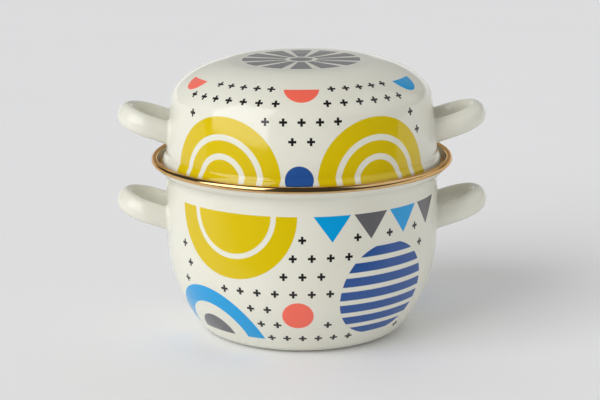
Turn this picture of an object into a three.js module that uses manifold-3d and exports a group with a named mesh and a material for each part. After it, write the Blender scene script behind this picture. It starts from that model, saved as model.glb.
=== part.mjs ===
// Enamelled mussel pot: a round-bellied pot and a deep domed lid that doubles as a shell bowl.
// Millimetres, +Z up, origin on the table at the middle of the base, handles along X.
import * as THREE from "three";
import { mergeVertices } from "three/addons/utils/BufferGeometryUtils.js";
import Module from "manifold-3d";

const wasm = await Module();
wasm.setup();

// Enamelled sheet steel, and the clearance left between pieces that touch
const SHEET = 1.4;
const SEAT_GAP = 0.3;

// Pot
const POT_HEIGHT = 118.4;
const POT_WALL_RADIUS = 91;
const POT_BELLY_HEIGHT = 64.3;
const POT_BASE_RADIUS = 60;
const POT_BASE_CORNER = 14;
const POT_CORNER_LIMIT = 0.8;
const BASE_RING_WIDTH = 9;
const BASE_RECESS_DEPTH = 0.8;
const BASE_RECESS_STEP = 2.5;
const NECK_HEIGHT = 13;
const NECK_LOWER_SHARE = 0.48;

// Metal rings hooked over the cut edges of pot and lid
const RIM_OVERHANG = 9.4;
const POT_RING_SECTION = 2.2;
const LID_RING_SECTION = 1.7;
const RING_BITE = 0.8;

// Lid
const LID_PLAY = 1.4;
const LID_HEIGHT = 68;
const LID_TOP_RADIUS = 46;
const LID_SHOULDER_HEIGHT = 23;
const LID_SHOULDER_FULLNESS = 0.45;
const LID_TAPER = 4;
const LID_FLARE = 2.75;
const LID_FLARE_HEIGHT = 7.4;
const LID_FLARE_SHARE = 0.35;

// Loop handles: two legs and a bow of oval section, tilted up and outward
const HANDLE_REACH = 30.4;
const HANDLE_LEG_SPACING = 43;
const HANDLE_BOW_DEPTH = 15.5;
const HANDLE_HEIGHT = 13.4;
const HANDLE_THICKNESS = 8;
const HANDLE_TILT = THREE.MathUtils.degToRad(15.5);
const HANDLE_FOOT_FLARE = 0.1;
const HANDLE_FOOT_LENGTH = 6;
const HANDLE_LEG_SHARE = 0.25;
const POT_HANDLE_HEIGHT = 79.5;
const LID_HANDLE_HEIGHT = 24.2;

// Facets round the axis, round a handle's section and along it, and in each bend of a profile
const FACETS_ROUND = 52;
const FACETS_SECTION = 12;
const FACETS_HANDLE = 26;
const FACETS_RING = 12;
const FACETS_BELLY = 9;
const FACETS_SHOULDER = 9;
const FACETS_CORNER = 4;
const FACETS_BEND = 3;
const SEAT_SAMPLES = 40;
const MERGE_DISTANCE = 1e-4;

// Finish of each material
const CREAM_ENAMEL = { color: 0xe2e1d4, roughness: 0.12, metalness: 0 };
const GOLD_METAL = { color: 0xc9963f, roughness: 0.22, metalness: 1 };

// Points of a circular arc, from one angle to another, in the radius and height plane
function arc(centreR, centreZ, radius, from, to, facets) {
  return Array.from({ length: facets + 1 }, (_, i) => {
    const angle = from + ((to - from) * i) / facets;
    return new THREE.Vector2(centreR + radius * Math.cos(angle), centreZ + radius * Math.sin(angle));
  });
}

// S-bend between two upright stretches: a hollow lower arc, then a round upper arc that meets it
function sBend(startR, startZ, growth, height, lowerShare) {
  const turn = 2 * Math.atan2(growth, height);
  const radii = height / Math.sin(turn);
  const lower = radii * lowerShare;
  const upper = radii - lower;
  return [
    ...arc(startR + lower, startZ, lower, Math.PI, Math.PI - turn, FACETS_BEND),
    ...arc(startR + growth - upper, startZ + height, upper, -turn, 0, FACETS_BEND).slice(1),
  ];
}

// Parallel outline at a distance to the right of the direction of travel
function offset(points, distance) {
  return points.map((point, i) => {
    const before = points[Math.max(i - 1, 0)];
    const after = points[Math.min(i + 1, points.length - 1)];
    const normals = [[before, point], [point, after]]
      .map(([a, b]) => new THREE.Vector2(b.y - a.y, a.x - b.x).normalize())
      .filter((normal) => normal.lengthSq() > 0);
    const normal = normals[0].clone().add(normals.at(-1)).normalize();
    const spread = distance / normal.dot(normals[0]);
    return new THREE.Vector2(Math.max(point.x + normal.x * spread, 0), point.y + normal.y * spread);
  });
}

// Closed solid with shared vertices and no collapsed faces
function tidy(geometry) {
  geometry.deleteAttribute("normal");
  geometry.deleteAttribute("uv");
  const merged = mergeVertices(geometry, MERGE_DISTANCE);
  const index = merged.getIndex().array;
  const kept = [];
  for (let i = 0; i < index.length; i += 3) {
    const [a, b, c] = index.slice(i, i + 3);
    if (a !== b && b !== c && c !== a) {
      kept.push(a, b, c);
    }
  }
  merged.setIndex(kept);
  merged.computeVertexNormals();
  return merged;
}

// Solid of revolution about Z from a profile that runs from low to high on its outer side
function turned(profile) {
  return tidy(new THREE.LatheGeometry(profile, FACETS_ROUND).rotateX(Math.PI / 2));
}

function toManifold(geometry) {
  return new wasm.Manifold(
    new wasm.Mesh({
      numProp: 3,
      vertProperties: new Float32Array(geometry.getAttribute("position").array),
      triVerts: new Uint32Array(geometry.getIndex().array),
    }),
  );
}

function fromManifold(solid) {
  const { vertProperties, triVerts } = solid.getMesh();
  const geometry = new THREE.BufferGeometry();
  geometry.setAttribute("position", new THREE.BufferAttribute(vertProperties, 3));
  geometry.setIndex(new THREE.BufferAttribute(triVerts, 1));
  geometry.computeVertexNormals();
  return geometry;
}

// Outside of the pot, from the middle of the base up to the cut edge inside the ring
const potRing = {
  radius: POT_WALL_RADIUS + RIM_OVERHANG - POT_RING_SECTION,
  height: POT_HEIGHT - POT_RING_SECTION,
  section: POT_RING_SECTION,
};
const potLip = potRing.radius - SEAT_GAP;

function potOutside() {
  const belly = POT_WALL_RADIUS - POT_BASE_RADIUS;
  const corner = Math.min(POT_BASE_CORNER, POT_CORNER_LIMIT * belly);
  const rise = POT_BELLY_HEIGHT - corner;
  // The belly's arc is tangent to the wall and to the corner above the base
  const bellyRadius = (belly ** 2 + rise ** 2 - corner ** 2) / (2 * (belly - corner));
  const join = Math.atan2(-rise, POT_BASE_RADIUS - POT_WALL_RADIUS + bellyRadius);
  const ringInside = POT_BASE_RADIUS - BASE_RING_WIDTH;
  const neckStart = potRing.height - NECK_HEIGHT;
  return [
    new THREE.Vector2(0, BASE_RECESS_DEPTH),
    new THREE.Vector2(ringInside - BASE_RECESS_STEP, BASE_RECESS_DEPTH),
    new THREE.Vector2(ringInside, 0),
    ...arc(POT_BASE_RADIUS, corner, corner, -Math.PI / 2, join, FACETS_CORNER),
    ...arc(POT_WALL_RADIUS - bellyRadius, POT_BELLY_HEIGHT, bellyRadius, join, 0, FACETS_BELLY).slice(1),
    ...sBend(POT_WALL_RADIUS, neckStart, potLip - POT_WALL_RADIUS, NECK_HEIGHT, NECK_LOWER_SHARE),
    new THREE.Vector2(potLip, potRing.height + RING_BITE),
  ];
}

// Height at which the lid's ring, coming down inside the pot, rests on the slope of the neck
function seatHeight({ radius, section }, inside) {
  const reach = section + SEAT_GAP;
  const samples = inside.slice(1).flatMap((end, i) =>
    Array.from({ length: SEAT_SAMPLES }, (_, k) => inside[i].clone().lerp(end, k / SEAT_SAMPLES)),
  );
  const heights = samples
    .filter((point) => Math.abs(point.x - radius) < reach)
    .map((point) => point.y + Math.sqrt(reach ** 2 - (point.x - radius) ** 2));
  return Math.max(...heights);
}

// Outside of the lid, from the cut edge inside its ring up to the middle of the top.
// Heights on the lid start at the middle of its ring.
const lidRing = {
  radius: potLip - SHEET - LID_PLAY - LID_RING_SECTION,
  height: 0,
  section: LID_RING_SECTION,
};

function lidOutside() {
  const edge = lidRing.radius - SEAT_GAP;
  const wall = edge - LID_FLARE;
  const flareTop = LID_RING_SECTION + LID_FLARE_HEIGHT;
  const shoulder = new THREE.Vector2(wall - LID_TAPER, LID_HEIGHT - LID_SHOULDER_HEIGHT);
  const top = new THREE.Vector2(LID_TOP_RADIUS, LID_HEIGHT);
  const alongWall = shoulder.clone().sub(new THREE.Vector2(wall, flareTop)).normalize();
  const shoulderCurve = new THREE.CubicBezierCurve(
    shoulder,
    shoulder.clone().addScaledVector(alongWall, LID_SHOULDER_FULLNESS * LID_SHOULDER_HEIGHT),
    new THREE.Vector2(THREE.MathUtils.lerp(top.x, shoulder.x, LID_SHOULDER_FULLNESS), LID_HEIGHT),
    top,
  );
  const flare = sBend(wall, -flareTop, LID_FLARE, LID_FLARE_HEIGHT, LID_FLARE_SHARE);
  return [
    new THREE.Vector2(edge, lidRing.height - RING_BITE),
    ...flare.map((point) => new THREE.Vector2(point.x, -point.y)).reverse(),
    ...shoulderCurve.getPoints(FACETS_SHOULDER),
    new THREE.Vector2(0, LID_HEIGHT),
  ];
}

// Sheet of even thickness under an outside profile that starts or ends on the axis
function sheet(outside) {
  const inside = offset(outside, -SHEET).reverse();
  return turned(outside[0].x === 0 ? [...outside, ...inside] : [...inside, ...outside]);
}

// Ring that hooks over a sheet's cut edge from outside: a half-round side and a cap, open downward (-1) or upward (+1)
function ring({ radius, height, section }, opening) {
  const underCap = RING_BITE + SEAT_GAP;
  const round = arc(0, 0, section, -Math.PI / 2, Math.PI - Math.asin(underCap / section), FACETS_RING);
  const hook = [...round, new THREE.Vector2(0, underCap), round[0]];
  const placed = hook.map((point) => new THREE.Vector2(radius + point.x, height - opening * point.y));
  return turned(opening < 0 ? placed : placed.reverse());
}

// Middle line of a loop handle, flat in XY, from inside one foot round the bow to the other
class LoopLine extends THREE.Curve {
  constructor(rootX) {
    super();
    this.straight = new THREE.Vector2(rootX, HANDLE_REACH - HANDLE_BOW_DEPTH);
  }

  getPoint(t, target = new THREE.Vector3()) {
    const half = HANDLE_LEG_SPACING / 2;
    const side = t < 0.5 ? -1 : 1;
    const alongLeg = Math.min(t, 1 - t) / HANDLE_LEG_SHARE;
    if (alongLeg < 1) {
      return target.set(THREE.MathUtils.lerp(this.straight.x, this.straight.y, alongLeg), side * half, 0);
    }
    const alongBow = (t - HANDLE_LEG_SHARE) / (1 - 2 * HANDLE_LEG_SHARE);
    const angle = Math.PI * (alongBow - 0.5);
    return target.set(this.straight.y + HANDLE_BOW_DEPTH * Math.cos(angle), half * Math.sin(angle), 0);
  }
}

// Radius of an outside profile at a height
function radiusAt(outside, height) {
  const isCrossed = (b, i) => i > 0 && (b.y - height) * (outside[i - 1].y - height) <= 0;
  const end = outside.findIndex(isCrossed);
  const [a, b] = [outside[end - 1], outside[end]];
  return THREE.MathUtils.mapLinear(height, a.y, b.y, a.x, b.x);
}

// Right-hand loop handle, its feet spread a little where they join the wall and cut to the wall's curve
function loopHandle(outside, height) {
  const wall = radiusAt(outside, height);
  const legOutside = HANDLE_LEG_SPACING / 2 + HANDLE_THICKNESS;
  const rootX = Math.sqrt(wall ** 2 - legOutside ** 2) - wall - HANDLE_THICKNESS;
  const oval = new THREE.Shape();
  oval.absellipse(0, 0, HANDLE_HEIGHT / 2, HANDLE_THICKNESS / 2, 0, 2 * Math.PI);
  const sweep = new THREE.ExtrudeGeometry(oval, {
    extrudePath: new LoopLine(rootX),
    steps: FACETS_HANDLE,
    curveSegments: FACETS_SECTION / 2,
  });
  const loop = tidy(sweep);
  const position = loop.getAttribute("position");
  for (let i = 0; i < position.count; i++) {
    const pastFoot = THREE.MathUtils.smoothstep(position.getX(i), 0, HANDLE_FOOT_LENGTH);
    const spread = 1 + HANDLE_FOOT_FLARE * (1 - pastFoot);
    const leg = (Math.sign(position.getY(i)) * HANDLE_LEG_SPACING) / 2;
    position.setY(i, leg + (position.getY(i) - leg) * spread);
    position.setZ(i, position.getZ(i) * spread);
  }
  loop.rotateY(-HANDLE_TILT).translate(wall, 0, height);
  const cleared = offset(outside, SEAT_GAP);
  const [bottom, top] = [cleared[0], cleared.at(-1)].map((point) => new THREE.Vector2(0, point.y));
  const core = turned([bottom, ...cleared, top]);
  return fromManifold(toManifold(loop).subtract(toManifold(core)));
}

function piece(name, geometry, finish) {
  const mesh = new THREE.Mesh(geometry, new THREE.MeshStandardMaterial(finish));
  mesh.name = name;
  return mesh;
}

// One shell with its ring and its two handles, which face each other across the axis
function vessel(prefix, shellName, outside, ringGeometry, handleHeight) {
  const group = new THREE.Group();
  group.add(piece(`${prefix}_${shellName}`, sheet(outside), CREAM_ENAMEL));
  group.add(piece(`${prefix}_rim`, ringGeometry, GOLD_METAL));
  for (const [side, turn] of [["right", 0], ["left", Math.PI]]) {
    const handle = piece(`${prefix}_handle_${side}`, loopHandle(outside, handleHeight), CREAM_ENAMEL);
    handle.rotation.z = turn;
    group.add(handle);
  }
  return group;
}

const potProfile = potOutside();
const pot = vessel("pot", "body", potProfile, ring(potRing, -1), POT_HANDLE_HEIGHT);
const lid = vessel("lid", "bowl", lidOutside(), ring(lidRing, 1), LID_HANDLE_HEIGHT);
lid.position.z = seatHeight(lidRing, offset(potProfile, -SHEET));

const musselPot = new THREE.Group();
musselPot.add(pot, lid);

export default musselPot;
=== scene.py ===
import math

import bmesh
import bpy
from mathutils import Matrix, Vector

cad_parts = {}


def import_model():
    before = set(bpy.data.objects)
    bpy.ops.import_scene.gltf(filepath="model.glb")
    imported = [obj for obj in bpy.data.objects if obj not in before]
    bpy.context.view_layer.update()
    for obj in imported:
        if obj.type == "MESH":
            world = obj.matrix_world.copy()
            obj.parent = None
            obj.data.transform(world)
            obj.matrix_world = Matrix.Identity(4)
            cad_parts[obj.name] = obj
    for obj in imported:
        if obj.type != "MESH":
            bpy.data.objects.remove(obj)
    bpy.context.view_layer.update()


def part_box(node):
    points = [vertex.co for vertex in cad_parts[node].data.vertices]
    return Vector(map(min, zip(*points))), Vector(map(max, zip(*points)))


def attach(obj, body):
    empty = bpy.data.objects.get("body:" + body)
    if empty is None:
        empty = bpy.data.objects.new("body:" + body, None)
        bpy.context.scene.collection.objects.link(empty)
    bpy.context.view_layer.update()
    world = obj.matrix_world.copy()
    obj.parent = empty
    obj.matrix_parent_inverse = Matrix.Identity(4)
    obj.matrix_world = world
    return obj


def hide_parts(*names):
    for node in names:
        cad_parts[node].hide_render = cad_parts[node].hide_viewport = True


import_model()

# The looks of an enamelled mussel pot, in metres, with +Z up and the front towards -Y
MM = 0.001
DEGREE = math.radians(1)

# Enamelled sheet and the metal rings over its edges
SHEET = 1.4 * MM
POT_RING_SECTION = 2.2 * MM
LID_RING_SECTION = 1.7 * MM
RING_BITE = 0.8 * MM
RING_CLEARANCE = 0.05 * MM
SHEET_CLEARANCE = 0.3 * MM
RING_HEM = 0.3 * MM
OPEN_DOWN = -1
OPEN_UP = 1

# Pot
WALL_RADIUS = 91 * MM
BELLY_HEIGHT = 64.3 * MM
BASE_RADIUS = 60 * MM
BASE_CORNER = 14 * MM
BASE_RING_WIDTH = 9 * MM
BASE_RECESS_DEPTH = 0.8 * MM
BASE_RECESS_STEP = 2.5 * MM
NECK_HEIGHT = 13 * MM
NECK_LOWER_SHARE = 0.48

# Lid
LID_TOP_RADIUS = 46 * MM
LID_SHOULDER_HEIGHT = 23 * MM
LID_SHOULDER_FULLNESS = 0.45
LID_TAPER = 4 * MM
LID_WALL_BOW = 0.4 * MM
LID_FLARE = 2.75 * MM
LID_FLARE_HEIGHT = 7.4 * MM
LID_FLARE_SHARE = 0.35

# Loop handles
HANDLE_REACH = 29.5 * MM
HANDLE_LEG_SPACING = 39 * MM
HANDLE_BOW_DEPTH = 20 * MM
HANDLE_STRAIGHT = HANDLE_REACH - HANDLE_BOW_DEPTH
HANDLE_HEIGHT = 15 * MM
HANDLE_THICKNESS = 10 * MM
HANDLE_TILT = math.radians(18)
HANDLE_FILLET = 2.8 * MM
HANDLE_SINK = 0.5 * MM
POT_HANDLE_HEIGHT = 78.8 * MM
LID_HANDLE_HEIGHT = 23.5 * MM

# Mesh steps: round the axis, round a small section, and along each stretch of a profile or handle
AROUND = 192
SECTION = 40
BELLY_STEPS = 40
SHOULDER_STEPS = 36
CORNER_STEPS = 12
BEND_STEPS = 12
WALL_STEPS = 12
FILLET_STEPS = 8
LEG_STEPS = 14
BOW_STEPS = 72
WALL_SEARCH_STEPS = 40
SHARP_ANGLE = math.radians(35)

# Colours, linear
CREAM = (0.685, 0.68, 0.595)
CREAM_DEEP = (0.67, 0.66, 0.565)
YELLOW = (0.60, 0.445, 0.001)
COBALT = (0.018, 0.075, 0.27)
SKY = (0.002, 0.29, 0.62)
CORAL = (0.80, 0.13, 0.085)
CHARCOAL = (0.115, 0.113, 0.12)
BLACK = (0.012, 0.011, 0.012)
GOLD = (0.84, 0.57, 0.28)
GOLD_DEEP = (0.77, 0.48, 0.20)
GOLD_EDGE = (0.87, 0.68, 0.48)
FLOOR = (0.86, 0.86, 0.872)
FLOOR_SHADE = 0.985
# Floor colour that only glossy rays see in front of the pot: a painted dark reflection
PAINTED_REFLECTION_DARK = (0.03, 0.03, 0.03)
BACKDROP = 0.70

# Surfaces: noises in waves a metre and their detail, roughness from low to high, and relief
NOISE_LOW = 0.3
NOISE_HIGH = 0.7
PATCH_DETAIL = 3.0
CREAM_PATCHES = 26
GLAZE_WAVES = 55
GLAZE_WAVE_DETAIL = 1.0
GLAZE_PEEL = 420
GLAZE_PEEL_DETAIL = 2.0
GLAZE_PEEL_SHARE = 0.12
GLAZE_RELIEF = 0.5 * MM
GLAZE_RELIEF_STRENGTH = 0.10
GLAZE_PATCHES = 90
GLAZE_ROUGHNESS = (0.03, 0.08)
GLAZE_IOR = 1.5
GOLD_PATCHES = 70
GOLD_ROUGHNESS = (0.07, 0.14)
GOLD_RELIEF = 0.05 * MM
GOLD_RELIEF_STRENGTH = 0.05
FLOOR_PATCHES = 3
FLOOR_ROUGHNESS = 0.6
FLOOR_SPECULAR = 0.2

# Sockets of a Mix node that take its two colours and give their mix
MIX_COLOURS = (6, 7)
MIX_RESULT = 2

# Grain of the metal: waves a millimetre across the ring, and the millimetres a degree round it counts as
GOLD_GRAIN = 6
GOLD_GRAIN_AROUND = 3

# Print: places in degrees round the axis and millimetres up the profile, sizes in millimetres
PRINT_DEGREES = 180.0
INK_EDGE = 0.25

# Way up that stands for a sheet's inside, far below every printed shape
INSIDE_WAY = -1000.0

# Print on the pot, measured up from the belly's widest place
POT_PRINT_TOP = 33
POT_PRINT_FOOT = -56
SUN_PLACE = {"degrees": -29, "way": POT_PRINT_TOP}
SUN = {**SUN_PLACE, "radius": 43}
SUN_LINE = {**SUN_PLACE, "radius": 28, "half_width": 1.7}
MOON_WAY = -21
MOON_CUT_PITCH = 9.5
MOON = {"degrees": 37, "way": MOON_WAY, "radius": 33}
MOON_CUTS = {"way": MOON_WAY + MOON_CUT_PITCH / 2, "pitch": MOON_CUT_PITCH, "half_width": 1.7}
ARCH_PLACE = {"degrees": -46, "way": POT_PRINT_FOOT}
ARCH = {**ARCH_PLACE, "radius": 30, "half_width": 6}
ARCH_CORE = {**ARCH_PLACE, "radius": 14}
POT_DOT = {"degrees": -2, "way": -34, "radius": 10}
PENNANT = {"way": POT_PRINT_TOP, "half_width": 12, "drop": 17}
PENNANTS = 4
PENNANT_START = 12
PENNANT_PITCH = 16.5

# Print on the lid, measured up from its ring
FAN_PLACES = (-34, 32)
FAN_WAY = 2
FAN_RADIUS = 41
FAN_LINE_RADII = (28, 16)
FAN_LINE_HALF_WIDTH = 1.9
LID_DOT = {"degrees": -1, "way": 6, "radius": 9}
DROP_WAY = 66
DROPS = ((-64, 10, CORAL), (0, 11, CORAL), (62, 11, SKY))
CROWN_WAY = 60
CROWN_PITCH = 30
CROWN_RAY_SPREAD = 0.19
CROWN_RAY_MIDDLE = 25
CROWN_RAY_HALF_LENGTH = 14
CROWN_HUB_RADIUS = 7.5

# Cross marks between the shapes, and the stretch of each print that they fill
PLUS_PITCH_DEGREES = 7.5
PLUS_PITCH = 12.0
PLUS_ARM = 2.5
PLUS_HALF_WIDTH = 0.8
PLUS_CLEARANCE = 5.2
PLUS_CUT = 100.0
POT_MARKS = {"lowest": POT_PRINT_FOOT, "highest": 28, "widest": 58}
LID_MARKS = {"lowest": 4, "highest": 70, "widest": 58}

# Studio light: soft-edged panels, in degrees of azimuth from the front (right is positive) and elevation
KEY = {"azimuth": -55, "half_width": 27, "low": -0.5, "top": 56, "blur": 1.5}
FILL = {"azimuth": 60, "half_width": 46, "low": -20, "top": 14, "blur": 12}
SWEEP = {"azimuth": 180, "half_width": 80, "low": -40, "top": 55, "blur": 20}
SIDE = {"azimuth": 88, "half_width": 45, "low": 13, "top": 62, "blur": 6}
BACK = {"azimuth": 160, "half_width": 58, "low": -40, "top": 7, "blur": 2}
REAR = {"azimuth": 180, "half_width": 38, "low": 0, "top": 65, "blur": 8}
KEY_RADIANCE = 3.38
FILL_RADIANCE = 2.05
SWEEP_RADIANCE = 0.5
AMBIENT = 0.35
KEY_MIRRORED = 2.7
SIDE_MIRRORED = 0.65
BACK_MIRRORED = 0.65
REAR_MIRRORED = 0.3
ROOM_MIRRORED = 0.05
FLOOR_SIZE = 30.0
# Depths in metres over which the floor turns to its painted dark reflection for glossy rays
REFLECTION_DARK_START = -0.11
REFLECTION_DARK_END = -0.24

# Camera and picture of 600 by 400 pixels
PICTURE_WIDTH = 600
FOCAL_PIXELS = 1620
SENSOR_WIDTH = 36
EYE_DISTANCE = 1.060
EYE_HEIGHT = 0.353
EYE_PITCH = math.radians(14.17)
EYE_ROLL = math.radians(-0.32)
AXIS_OFFSET_PIXELS = 2.05
CLIP_END = 100


# Profiles in the radius and height plane

def arc(centre_r, centre_z, radius, start, end, steps):
    """Points of a circular arc from one angle to another."""
    angles = [start + (end - start) * i / steps for i in range(steps + 1)]
    return [Vector((centre_r + radius * math.cos(a), centre_z + radius * math.sin(a))) for a in angles]


def s_bend(start_r, start_z, growth, height, lower_share):
    """A hollow lower arc, then a round upper arc that meets it, between two upright stretches."""
    turn = 2 * math.atan2(growth, height)
    radii = height / math.sin(turn)
    lower = radii * lower_share
    upper = radii - lower
    start = arc(start_r + lower, start_z, lower, math.pi, math.pi - turn, BEND_STEPS)
    end = arc(start_r + growth - upper, start_z + height, upper, -turn, 0, BEND_STEPS)
    return start + end[1:]


def bezier(a, b, c, d, steps):
    """Points of a cubic curve with two end points and two pulls."""
    points = []
    for i in range(steps + 1):
        t = i / steps
        u = 1 - t
        points.append(a * u**3 + b * (3 * u * u * t) + c * (3 * u * t * t) + d * t**3)
    return points


def bowed(start, end, bow, steps):
    """A line that swells to the right of its direction of travel by a bow at its middle."""
    way = end - start
    out = Vector((way.y, -way.x)).normalized()
    shares = [i / steps for i in range(steps + 1)]
    return [start + way * share + out * (4 * bow * share * (1 - share)) for share in shares]


def offset(points, distance):
    """Parallel line at a distance to the right of the direction of travel."""
    moved = []
    for i, point in enumerate(points):
        before = point - points[i - 1] if i else points[1] - point
        after = points[i + 1] - point if i + 1 < len(points) else before
        normals = [Vector((way.y, -way.x)).normalized() for way in (before, after)]
        normal = (normals[0] + normals[1]).normalized()
        place = point + normal * (distance / normal.dot(normals[0]))
        moved.append(Vector((max(place.x, 0), place.y)))
    return moved


def pot_outside(ring):
    """From the middle of the base up to the cut edge inside the ring, given the ring's centre."""
    belly = WALL_RADIUS - BASE_RADIUS
    rise = BELLY_HEIGHT - BASE_CORNER
    belly_radius = (belly**2 + rise**2 - BASE_CORNER**2) / (2 * (belly - BASE_CORNER))
    join = math.atan2(-rise, belly_radius - belly)
    ring_inside = BASE_RADIUS - BASE_RING_WIDTH
    lip = ring.x - SHEET_CLEARANCE
    recess = [Vector((0, BASE_RECESS_DEPTH)), Vector((ring_inside - BASE_RECESS_STEP, BASE_RECESS_DEPTH))]
    corner = arc(BASE_RADIUS, BASE_CORNER, BASE_CORNER, -math.pi / 2, join, CORNER_STEPS)
    side = arc(WALL_RADIUS - belly_radius, BELLY_HEIGHT, belly_radius, join, 0, BELLY_STEPS)
    neck = s_bend(WALL_RADIUS, ring.y - NECK_HEIGHT, lip - WALL_RADIUS, NECK_HEIGHT, NECK_LOWER_SHARE)
    edge = Vector((lip, ring.y + RING_BITE))
    return [*recess, Vector((ring_inside, 0)), *corner, *side[1:], *neck, edge]


def lid_outside(ring, height):
    """From the cut edge inside the ring up to the middle of the top, given the ring's centre."""
    edge = ring.x - SHEET_CLEARANCE
    wall = edge - LID_FLARE
    flare_top = ring.y + LID_RING_SECTION + LID_FLARE_HEIGHT
    shoulder = Vector((wall - LID_TAPER, height - LID_SHOULDER_HEIGHT))
    top = Vector((LID_TOP_RADIUS, height))
    side = bowed(Vector((wall, flare_top)), shoulder, LID_WALL_BOW, WALL_STEPS)
    along_wall = (side[-1] - side[-2]).normalized()
    pull = shoulder + along_wall * (LID_SHOULDER_FULLNESS * LID_SHOULDER_HEIGHT)
    over = Vector((top.x + (shoulder.x - top.x) * LID_SHOULDER_FULLNESS, height))
    flare = s_bend(wall, -flare_top, LID_FLARE, LID_FLARE_HEIGHT, LID_FLARE_SHARE)
    flare_down = [Vector((point.x, -point.y)) for point in reversed(flare)]
    curve = bezier(shoulder, pull, over, top, SHOULDER_STEPS)
    foot = Vector((edge, ring.y - RING_BITE))
    return [foot, *flare_down, *side[1:], *curve[1:], Vector((0, height))]


def radius_at(profile, height):
    """Radius of an outside profile at a height."""
    for a, b in zip(profile, profile[1:]):
        if a.y != b.y and (a.y - height) * (b.y - height) <= 0:
            return a.x + (b.x - a.x) * (height - a.y) / (b.y - a.y)
    raise ValueError("the profile doesn't reach that height")


# Meshes

def turned(point):
    """One profile point turned about the axis, with the seam at the back."""
    if point.x == 0:
        return [Vector((0, 0, point.y))]
    angles = [2 * math.pi * i / AROUND - math.pi for i in range(AROUND)]
    return [Vector((point.x * math.sin(a), -point.x * math.cos(a), point.y)) for a in angles]


def ring_faces(rings, closed):
    """Faces between neighbouring rings, and where their corners lie on a flat spread of the mesh."""
    count = len(rings)
    starts = [0]
    for points in rings:
        starts.append(starts[-1] + len(points))
    faces = []
    spreads = []
    for i in range(count if closed else count - 1):
        after = (i + 1) % count
        steps = max(len(rings[i]), len(rings[after]))
        for k in range(steps):
            corners = [(i, k, i), (i, k + 1, i), (after, k + 1, i + 1), (after, k, i + 1)]
            if len(rings[i]) == 1:
                corners.pop(0)
            elif len(rings[after]) == 1:
                corners.pop(3)
            faces.append([starts[row] + step % len(rings[row]) for row, step, _ in corners])
            spreads.extend((step / steps, level / count) for _, step, level in corners)
    return faces, spreads


def outward(mesh):
    """Turns every face of a closed mesh outward."""
    editable = bmesh.new()
    editable.from_mesh(mesh)
    bmesh.ops.recalc_face_normals(editable, faces=editable.faces)
    editable.to_mesh(mesh)
    editable.free()


def skin(name, rings, closed=False):
    """Smooth mesh through rings of points; a ring of one point is a pole, and closed joins the ends."""
    faces, spreads = ring_faces(rings, closed)
    mesh = bpy.data.meshes.new(name)
    mesh.from_pydata([point for points in rings for point in points], [], faces)
    layer = mesh.uv_layers.new(name="OFBake")
    layer.data.foreach_set("uv", [value for spread in spreads for value in spread])
    outward(mesh)
    mesh.shade_smooth()
    mesh.set_sharp_from_angle(angle=SHARP_ANGLE)
    piece = bpy.data.objects.new(name, mesh)
    bpy.context.scene.collection.objects.link(piece)
    return piece


def ways_along(outside, measured_from):
    """Way up an outside profile to each of its points, in millimetres from where it passes a height."""
    ways = [0.0]
    for a, b in zip(outside, outside[1:]):
        ways.append(ways[-1] + (b - a).length)
    zero = next(way for way, point in zip(ways, outside) if point.y >= measured_from and point.x > 0)
    return [(way - zero) / MM for way in ways]


def shell(name, outside, measured_from):
    """Sheet of even thickness under an outside profile; way_up keeps each point's way up it."""
    inside = offset(outside, -SHEET)
    inside.reverse()
    outside_ways = ways_along(outside, measured_from)
    inside_ways = [INSIDE_WAY] * len(inside)
    on_axis_first = outside[0].x == 0
    profile = [*outside, *inside] if on_axis_first else [*inside, *outside]
    ways = [*outside_ways, *inside_ways] if on_axis_first else [*inside_ways, *outside_ways]
    rings = [turned(point) for point in profile]
    piece = skin(name, rings)
    attribute = piece.data.attributes.new("way_up", "FLOAT", "POINT")
    attribute.data.foreach_set("value", [way for way, points in zip(ways, rings) for _ in points])
    return piece


def metal_ring(name, centre, section, opening):
    """Ring hooked over a sheet's cut edge from outside, open downward or upward."""
    inner = RING_CLEARANCE - SHEET_CLEARANCE
    under_cap = RING_BITE + RING_CLEARANCE
    cap_end = math.pi - math.asin((under_cap + RING_HEM) / section)
    foot = -math.pi / 2 + math.asin((inner + RING_HEM) / section)
    round_side = arc(0, 0, section, foot, cap_end, SECTION)
    hem_r = round_side[-1].x + RING_HEM / 2
    foot_z = round_side[0].y + RING_HEM
    hook = [Vector((hem_r, under_cap)), Vector((inner, under_cap)), Vector((inner, foot_z))]
    placed = [Vector((centre.x + point.x, centre.y - opening * point.y)) for point in round_side + hook]
    return skin(name, [turned(point) for point in placed], closed=True)


def bow_point(turn):
    """Middle line of the bow, and the way it faces, from one leg's end (0) to the other's (1)."""
    angle = math.pi * (turn - 0.5)
    half = HANDLE_LEG_SPACING / 2
    place = Vector((HANDLE_STRAIGHT + HANDLE_BOW_DEPTH * math.cos(angle), half * math.sin(angle)))
    facing = Vector((half * math.cos(angle), HANDLE_BOW_DEPTH * math.sin(angle))).normalized()
    return place, facing


def oval(spread):
    """Section of a handle, grown by an even spread: outward and upward parts."""
    points = []
    for i in range(SECTION):
        angle = 2 * math.pi * i / SECTION
        out, up = math.cos(angle), math.sin(angle)
        normal = Vector((out / HANDLE_THICKNESS, up / HANDLE_HEIGHT)).normalized()
        points.append(Vector((out * HANDLE_THICKNESS / 2, up * HANDLE_HEIGHT / 2)) + normal * spread)
    return points


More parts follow.
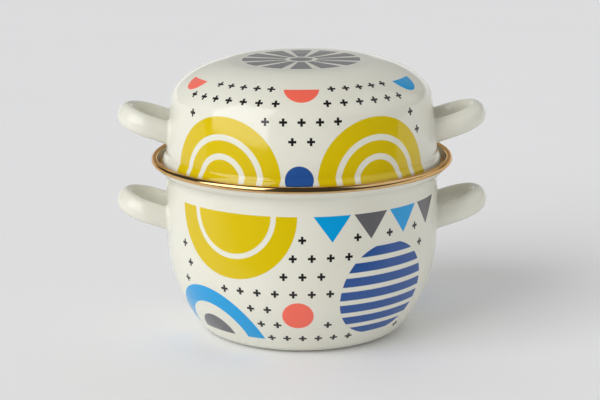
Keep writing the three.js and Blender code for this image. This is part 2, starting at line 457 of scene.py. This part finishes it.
class Handle:
    """Right-hand loop handle on an outside profile, with a fillet where each foot meets the wall."""

    def __init__(self, profile, height):
        self.profile = profile
        self.height = height
        self.wall = radius_at(profile, height)

    def place(self, x, y, z):
        """A point of the untilted loop, tilted about its root and set on the wall."""
        cos, sin = math.cos(HANDLE_TILT), math.sin(HANDLE_TILT)
        return Vector((self.wall + x * cos - z * sin, y, self.height + x * sin + z * cos))

    def wall_reach(self, y, z):
        """How far out along a leg's line the wall lies."""
        low, high = -HANDLE_REACH, HANDLE_REACH / 2
        for _ in range(WALL_SEARCH_STEPS):
            middle = (low + high) / 2
            point = self.place(middle, y, z)
            if math.hypot(point.x, point.y) < radius_at(self.profile, point.z):
                low = middle
            else:
                high = middle
        return (low + high) / 2

    def leg_ring(self, side, share):
        """One ring of a leg: share 0 is the end of the bow, 1 the start of the fillet."""
        ring_points = []
        for point in oval(0):
            y = side * (HANDLE_LEG_SPACING / 2 + point.x)
            end = self.wall_reach(y, point.y) + HANDLE_FILLET
            x = HANDLE_STRAIGHT + (end - HANDLE_STRAIGHT) * share
            ring_points.append(self.place(x, y, point.y))
        return ring_points

    def foot_ring(self, side, distance):
        """One ring of the fillet, at a distance from the wall; below zero it is sunk in the wall."""
        rest = HANDLE_FILLET - max(distance, 0)
        spread = HANDLE_FILLET - math.sqrt(HANDLE_FILLET**2 - rest**2)
        ring_points = []
        for point in oval(spread):
            y = side * (HANDLE_LEG_SPACING / 2 + point.x)
            ring_points.append(self.place(self.wall_reach(y, point.y) + distance, y, point.y))
        return ring_points

    def leg(self, side):
        """Rings from the wall out to the end of the bow."""
        turns = [math.pi / 2 * i / FILLET_STEPS for i in range(FILLET_STEPS)]
        distances = [-HANDLE_SINK, *(HANDLE_FILLET * (1 - math.cos(turn)) for turn in turns)]
        rings = [self.foot_ring(side, distance) for distance in distances]
        rings += [self.leg_ring(side, 1 - i / LEG_STEPS) for i in range(LEG_STEPS)]
        return [[sum(rings[0], Vector()) / SECTION], *rings]

    def bow(self):
        """Rings round the bow, from one leg to the other."""
        section = oval(0)
        rings = []
        for i in range(BOW_STEPS + 1):
            middle, facing = bow_point(i / BOW_STEPS)
            places = [middle + facing * point.x for point in section]
            rings.append([self.place(p.x, p.y, point.y) for p, point in zip(places, section)])
        return rings

    def build(self, name, turn):
        """The whole loop, turned about the pot's axis."""
        rings = self.leg(-1) + self.bow() + self.leg(1)[::-1]
        spin = Matrix.Rotation(turn, 3, "Z")
        return skin(name, [[spin @ point for point in points] for points in rings])


# Shader helpers

class Field:
    """A number that varies over a surface, kept as the output of shader nodes."""

    def __init__(self, tree, socket):
        self.tree = tree
        self.socket = socket

    def math(self, operation, *others, clamp=False):
        """The output of a Math node that takes this field and others."""
        node = self.tree.nodes.new("ShaderNodeMath")
        node.operation = operation
        node.use_clamp = clamp
        for entry, value in zip(node.inputs, (self, *others)):
            connect(self.tree, value, entry)
        return Field(self.tree, node.outputs[0])

    def __add__(self, other):
        return self.math("ADD", other)

    def __sub__(self, other):
        return self.math("SUBTRACT", other)

    def __mul__(self, other):
        return self.math("MULTIPLY", other)

    def __abs__(self):
        return self.math("ABSOLUTE")

    def root(self):
        return self.math("SQRT")

    def wrapped(self, low, high):
        return self.math("WRAP", high, low)

    def least(self, other):
        return self.math("MINIMUM", other)

    def most(self, other):
        return self.math("MAXIMUM", other)


def connect(tree, value, entry):
    """Links a field to a socket, or sets the socket to a constant."""
    if isinstance(value, Field):
        tree.links.new(value.socket, entry)
    else:
        entry.default_value = value


def new_material(name):
    """A material with one Principled shader."""
    material = bpy.data.materials.new(name)
    material.use_nodes = True
    tree = material.node_tree
    tree.nodes.clear()
    shader = tree.nodes.new("ShaderNodeBsdfPrincipled")
    output = tree.nodes.new("ShaderNodeOutputMaterial")
    tree.links.new(shader.outputs["BSDF"], output.inputs["Surface"])
    return material, tree, shader


def coordinates(tree, kind):
    """The three parts of a texture coordinate, such as the place on the object in metres."""
    source = tree.nodes.new("ShaderNodeTexCoord")
    parts = tree.nodes.new("ShaderNodeSeparateXYZ")
    tree.links.new(source.outputs[kind], parts.inputs[0])
    return [Field(tree, output) for output in parts.outputs]


def angle_round(x, y):
    """Angle round the axis from the front, in degrees, positive to the right."""
    return x.math("ARCTAN2", y * -1).math("DEGREES")


def surface_places(tree):
    """Angle round the axis from the front in degrees, radius and height in millimetres."""
    x, y, z = coordinates(tree, "Object")
    around = angle_round(x, y)
    radius = (x * x + y * y).root() * (1 / MM)
    return around, radius, z * (1 / MM)


def light_path(tree, output):
    """A light path output, such as 1 on rays that leave a glossy surface."""
    return Field(tree, tree.nodes.new("ShaderNodeLightPath").outputs[output])


def noise(tree, scale, detail, vector=None):
    """Noise about 0.5 in the middle; the scale is in waves a metre of the object, or a unit of a vector."""
    node = tree.nodes.new("ShaderNodeTexNoise")
    node.inputs["Scale"].default_value = scale
    node.inputs["Detail"].default_value = detail
    if vector is None:
        vector = tree.nodes.new("ShaderNodeTexCoord").outputs["Object"]
    tree.links.new(vector, node.inputs["Vector"])
    return Field(tree, node.outputs["Fac"])


def ranged(field, low, high, from_low=NOISE_LOW, from_high=NOISE_HIGH, smooth=False):
    """A field stretched from one range, a noise's where none is given, to another."""
    node = field.tree.nodes.new("ShaderNodeMapRange")
    node.interpolation_type = "SMOOTHSTEP" if smooth else "LINEAR"
    for entry, value in zip(node.inputs, (field, from_low, from_high, low, high)):
        connect(field.tree, value, entry)
    return Field(field.tree, node.outputs["Result"])


def mixed(tree, share, under, over):
    """A colour between two: each is a socket or three numbers."""
    node = tree.nodes.new("ShaderNodeMix")
    node.data_type = "RGBA"
    connect(tree, share, node.inputs["Factor"])
    for socket, colour in zip(MIX_COLOURS, (under, over)):
        if isinstance(colour, tuple):
            node.inputs[socket].default_value = (*colour, 1)
        else:
            tree.links.new(colour, node.inputs[socket])
    return node.outputs[MIX_RESULT]


def bumped(tree, shader, height, strength, distance):
    """Feeds a height field to a shader as fine relief."""
    node = tree.nodes.new("ShaderNodeBump")
    node.inputs["Strength"].default_value = strength
    node.inputs["Distance"].default_value = distance
    tree.links.new(height.socket, node.inputs["Height"])
    tree.links.new(node.outputs["Normal"], shader.inputs["Normal"])


# Enamel and metal

def glaze(tree, shader):
    """The gloss of fired enamel: slow waves and a faint peel in a smooth glassy coat."""
    waves = noise(tree, GLAZE_WAVES, GLAZE_WAVE_DETAIL)
    peel = noise(tree, GLAZE_PEEL, GLAZE_PEEL_DETAIL)
    bumped(tree, shader, waves + peel * GLAZE_PEEL_SHARE, GLAZE_RELIEF_STRENGTH, GLAZE_RELIEF)
    roughness = ranged(noise(tree, GLAZE_PATCHES, PATCH_DETAIL), *GLAZE_ROUGHNESS)
    tree.links.new(roughness.socket, shader.inputs["Roughness"])
    shader.inputs["IOR"].default_value = GLAZE_IOR


def cream_colour(tree):
    """Cream enamel, a little deeper in slow patches."""
    patches = noise(tree, CREAM_PATCHES, PATCH_DETAIL)
    return mixed(tree, ranged(patches, 0, 1), CREAM, CREAM_DEEP)


def cream_enamel():
    """Plain enamel of the handles."""
    material, tree, shader = new_material("cream_enamel")
    tree.links.new(cream_colour(tree), shader.inputs["Base Color"])
    glaze(tree, shader)
    return material


def gold_metal():
    """Polished gold-toned metal with a fine grain."""
    material, tree, shader = new_material("gold_metal")
    around, radius, height = surface_places(tree)
    place = tree.nodes.new("ShaderNodeCombineXYZ")
    for entry, value in zip(place.inputs, (around * GOLD_GRAIN_AROUND, radius, height)):
        tree.links.new(value.socket, entry)
    grain = noise(tree, GOLD_GRAIN, PATCH_DETAIL, place.outputs["Vector"])
    patches = noise(tree, GOLD_PATCHES, PATCH_DETAIL)
    colour = mixed(tree, ranged(patches, 0, 1), GOLD, GOLD_DEEP)
    tree.links.new(colour, shader.inputs["Base Color"])
    tree.links.new(ranged(grain, *GOLD_ROUGHNESS).socket, shader.inputs["Roughness"])
    shader.inputs["Metallic"].default_value = 1
    shader.inputs["Specular Tint"].default_value = (*GOLD_EDGE, 1)
    bumped(tree, shader, grain, GOLD_RELIEF_STRENGTH, GOLD_RELIEF)
    return material


# Print: flat shapes, each a signed distance from its edge in millimetres, below zero inside

def way_up(tree):
    """Way up the outside profile in millimetres."""
    node = tree.nodes.new("ShaderNodeAttribute")
    node.attribute_name = "way_up"
    return Field(tree, node.outputs["Fac"])


def outward_lean(tree):
    """How fast the radius grows on the way up the profile."""
    _, _, upward = coordinates(tree, "Normal")
    return upward * -1


class Place:
    """Where a point of the surface lies, for drawing shapes at true size."""

    def __init__(self, around, way, radius, lean):
        self.around = around
        self.way = way
        self.radius = radius
        self.lean = lean

    def beside(self, degrees):
        """Distance to the right of a meridian."""
        return (self.around - degrees) * self.radius * DEGREE

    def distance(self, degrees, way):
        """Distance from a point."""
        side = self.beside(degrees)
        up = self.way - way
        return (side * side + up * up).root()


def disc(place, degrees, way, radius):
    """A round spot."""
    return place.distance(degrees, way) - radius


def hoop(place, degrees, way, radius, half_width):
    """A round line."""
    return abs(place.distance(degrees, way) - radius) - half_width


def above(place, way):
    """All that lies higher than a level line."""
    return (place.way - way) * -1


def below(place, way):
    """All that lies lower than a level line."""
    return place.way - way


def stripes(place, way, pitch, half_width):
    """Level stripes, one every pitch, with one at a given way up."""
    return abs((place.way - way).wrapped(-pitch / 2, pitch / 2)) - half_width


def pennant(place, degrees, way, half_width, drop):
    """Triangle that hangs from its level top edge."""
    slope = math.hypot(half_width, drop)
    leaning = (abs(place.beside(degrees)) * drop + (place.way * -1 + way) * half_width) * (1 / slope)
    return (leaning - half_width * drop / slope).most(below(place, way))


def pot_shapes(place):
    """Distances and inks of the pot's large shapes, first to last painted."""
    sun = disc(place, **SUN).most(below(place, POT_PRINT_TOP))
    sun_line = hoop(place, **SUN_LINE).most(below(place, POT_PRINT_TOP))
    moon = disc(place, **MOON)
    moon_cut = stripes(place, **MOON_CUTS).most(moon)
    arch = hoop(place, **ARCH).most(above(place, POT_PRINT_FOOT))
    arch_core = disc(place, **ARCH_CORE).most(above(place, POT_PRINT_FOOT))
    shapes = [(sun, YELLOW), (sun_line, CREAM), (moon, COBALT), (moon_cut, CREAM)]
    shapes += [(arch, SKY), (arch_core, CHARCOAL), (disc(place, **POT_DOT), CORAL)]
    for k in range(PENNANTS):
        degrees = PENNANT_START + PENNANT_PITCH * k
        shapes.append((pennant(place, degrees, **PENNANT), CHARCOAL if k % 2 else SKY))
    return shapes


def lid_shapes(place):
    """Distances and inks of the lid's large shapes, first to last painted."""
    shapes = []
    for degrees in FAN_PLACES:
        shapes.append((disc(place, degrees, FAN_WAY, FAN_RADIUS), YELLOW))
        for radius in FAN_LINE_RADII:
            shapes.append((hoop(place, degrees, FAN_WAY, radius, FAN_LINE_HALF_WIDTH), CREAM))
    shapes.append((disc(place, **LID_DOT), COBALT))
    for degrees, radius, ink in DROPS:
        shapes.append((disc(place, degrees, DROP_WAY, radius).most(below(place, DROP_WAY)), ink))
    return shapes


def plus_marks(place, shapes, lowest, highest, widest):
    """Small crosses in staggered rows, left out near the large shapes and outside their stretch."""
    row = (place.way * (1 / PLUS_PITCH)).math("FLOOR")
    row_middle = (row + 0.5) * PLUS_PITCH
    stagger = row.math("FLOORED_MODULO", 2) * (PLUS_PITCH_DEGREES / 2)
    column = ((place.around + stagger) * (1 / PLUS_PITCH_DEGREES)).math("FLOOR")
    column_middle = (column + 0.5) * PLUS_PITCH_DEGREES - stagger
    middle_radius = place.radius + place.lean * (row_middle - place.way)
    middle = Place(column_middle, row_middle, middle_radius, place.lean)
    room = abs(column_middle) * -1 + widest
    room = room.least(row_middle - lowest).least(row_middle * -1 + highest)
    for distance, _ in shapes(middle):
        room = room.least(distance - PLUS_CLEARANCE)
    side = abs(place.beside(column_middle))
    up = abs(place.way - row_middle)
    level = (side - PLUS_ARM).most(up - PLUS_HALF_WIDTH)
    upright = (side - PLUS_HALF_WIDTH).most(up - PLUS_ARM)
    return level.least(upright).most(room * -PLUS_CUT)


def covered(distance):
    """Share of ink at a signed distance from a shape's edge."""
    return distance.math("MULTIPLY_ADD", -1 / INK_EDGE, 0.5, clamp=True)


def printed_enamel(name, shapes, marks, extra=None):
    """Cream enamel with flat inks under the glaze, the same on the front and the back."""
    material, tree, shader = new_material(name)
    around, radius, _ = surface_places(tree)
    across = around.wrapped(-PRINT_DEGREES / 2, PRINT_DEGREES / 2)
    place = Place(across, way_up(tree), radius, outward_lean(tree))
    cream = cream_colour(tree)
    colour = mixed(tree, covered(plus_marks(place, shapes, **marks)), cream, BLACK)
    for distance, ink in shapes(place):
        colour = mixed(tree, covered(distance), colour, cream if ink is CREAM else ink)
    if extra:
        colour = extra(tree, colour, around, radius, place)
    tree.links.new(colour, shader.inputs["Base Color"])
    glaze(tree, shader)
    return material


def crown(tree, colour, around, radius, place):
    """Ring of wedge rays round a hub, on the flat top of the lid."""
    from_middle = abs(around.wrapped(-CROWN_PITCH / 2, CROWN_PITCH / 2))
    wedge = from_middle * radius * DEGREE - radius * CROWN_RAY_SPREAD
    length = abs(radius - CROWN_RAY_MIDDLE) - CROWN_RAY_HALF_LENGTH
    ray = wedge.most(length).most(above(place, CROWN_WAY))
    hub = (radius - CROWN_HUB_RADIUS).most(above(place, CROWN_WAY))
    colour = mixed(tree, covered(ray), colour, CHARCOAL)
    return mixed(tree, covered(hub), colour, CHARCOAL)


# Setting

def floor():
    """A wide pale floor; to glossy rays it turns dark in front of the pot, as a painted dark reflection."""
    bpy.ops.mesh.primitive_plane_add(size=FLOOR_SIZE)
    plane = bpy.context.object
    plane.name = "floor"
    material, tree, shader = new_material("floor")
    patches = noise(tree, FLOOR_PATCHES, PATCH_DETAIL)
    pale = mixed(tree, ranged(patches, 0, 1), FLOOR, tuple(FLOOR_SHADE * part for part in FLOOR))
    # Painted dark reflection: glossy rays see the floor in front of the pot as dark, other rays see it pale
    _, depth, _ = coordinates(tree, "Object")
    beyond = ranged(depth, 1, 0, REFLECTION_DARK_END, REFLECTION_DARK_START)
    mirrored = light_path(tree, "Is Glossy Ray") * beyond
    tree.links.new(mixed(tree, mirrored, pale, PAINTED_REFLECTION_DARK), shader.inputs["Base Color"])
    shader.inputs["Roughness"].default_value = FLOOR_ROUGHNESS
    shader.inputs["Specular IOR Level"].default_value = FLOOR_SPECULAR
    plane.data.materials.append(material)


def panel(around, up, azimuth, half_width, low, top, blur):
    """Share of a soft-edged panel: 1 inside it, 0 outside."""
    side = abs((around - azimuth).wrapped(-180, 180))
    across = ranged(side, 1, 0, half_width - blur, half_width + blur, smooth=True)
    over = ranged(up, 0, 1, low - blur, low + blur, smooth=True)
    under = ranged(up, 1, 0, top - blur, top + blur, smooth=True)
    return across * over * under


def world():
    """A studio of soft panels; gloss mirrors a darker room, and the camera sees the pale backdrop."""
    made = bpy.data.worlds.new("studio")
    bpy.context.scene.world = made
    made.use_nodes = True
    tree = made.node_tree
    x, y, z = coordinates(tree, "Generated")
    around = angle_round(x, y)
    up = z.math("ARCSINE").math("DEGREES")
    glossy = light_path(tree, "Is Glossy Ray")
    key = panel(around, up, **KEY)
    lighting = key * KEY_RADIANCE + panel(around, up, **FILL) * FILL_RADIANCE
    lighting = lighting + panel(around, up, **SWEEP) * SWEEP_RADIANCE + AMBIENT
    mirrored = key * KEY_MIRRORED + panel(around, up, **SIDE) * SIDE_MIRRORED
    mirrored = mirrored + panel(around, up, **BACK) * BACK_MIRRORED
    mirrored = mirrored + panel(around, up, **REAR) * REAR_MIRRORED + ROOM_MIRRORED
    light = lighting * (glossy * -1 + 1) + mirrored * glossy
    seen = light_path(tree, "Is Camera Ray").most(light_path(tree, "Is Transmission Ray"))
    light = light * (seen * -1 + 1) + seen * BACKDROP
    background = tree.nodes["Background"]
    tree.links.new(light.socket, background.inputs["Strength"])
    background.inputs["Color"].default_value = (1, 1, 1, 1)


def camera():
    """The photograph's view: from in front, looking down, with the axis a little right of the middle."""
    data = bpy.data.cameras.new("camera")
    data.sensor_width = SENSOR_WIDTH
    data.lens = FOCAL_PIXELS / PICTURE_WIDTH * SENSOR_WIDTH
    data.clip_end = CLIP_END
    eye = bpy.data.objects.new("camera", data)
    bpy.context.scene.collection.objects.link(eye)
    yaw = math.atan(AXIS_OFFSET_PIXELS / FOCAL_PIXELS)
    pitch = Matrix.Rotation(math.pi / 2 - EYE_PITCH, 4, "X")
    roll = Matrix.Rotation(EYE_ROLL, 4, "Z")
    turn = Matrix.Rotation(yaw, 4, "Z")
    eye.matrix_world = Matrix.Translation((0, -EYE_DISTANCE, EYE_HEIGHT)) @ turn @ pitch @ roll
    bpy.context.scene.camera = eye


# Assembly

def finish_piece(piece, body, node, material):
    """Gives a piece its material and its place in the frame."""
    piece.data.materials.append(material)
    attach(piece, body)
    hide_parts(node)


def add_shell(body, node, outside, measured_from, material):
    """The printed sheet of the pot or the lid."""
    piece = shell(f"{node}_enamel", outside, measured_from)
    finish_piece(piece, body, node, material)


def add_ring(body, centre, section, opening, material):
    """The metal ring over the sheet's cut edge."""
    piece = metal_ring(f"{body}_rim_ring", centre, section, opening)
    finish_piece(piece, body, f"{body}_rim", material)


def add_handles(body, outside, height, material):
    """The two loop handles on the sheet's outside."""
    handle = Handle(outside, height)
    for side, turn in (("right", 0), ("left", math.pi)):
        piece = handle.build(f"{body}_handle_{side}_loop", turn)
        finish_piece(piece, body, f"{body}_handle_{side}", material)


pot_rim_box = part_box("pot_rim")
lid_rim_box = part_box("lid_rim")
pot_ring = Vector((pot_rim_box[1].x - POT_RING_SECTION, pot_rim_box[1].z - POT_RING_SECTION))
lid_ring = Vector((lid_rim_box[1].x - LID_RING_SECTION, lid_rim_box[1].z - LID_RING_SECTION))
lid_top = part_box("lid_bowl")[1].z

enamel = cream_enamel()
gold = gold_metal()
pot_print = printed_enamel("pot_enamel", pot_shapes, POT_MARKS)
lid_print = printed_enamel("lid_enamel", lid_shapes, LID_MARKS, crown)

pot_profile = pot_outside(pot_ring)
add_shell("pot", "pot_body", pot_profile, BELLY_HEIGHT, pot_print)
add_ring("pot", pot_ring, POT_RING_SECTION, OPEN_DOWN, gold)
add_handles("pot", pot_profile, POT_HANDLE_HEIGHT, enamel)

lid_profile = lid_outside(lid_ring, lid_top)
add_shell("lid", "lid_bowl", lid_profile, lid_ring.y, lid_print)
add_ring("lid", lid_ring, LID_RING_SECTION, OPEN_UP, gold)
add_handles("lid", lid_profile, lid_ring.y + LID_HANDLE_HEIGHT, enamel)

floor()
world()
camera()
bpy.context.scene.view_settings.view_transform = "Standard"
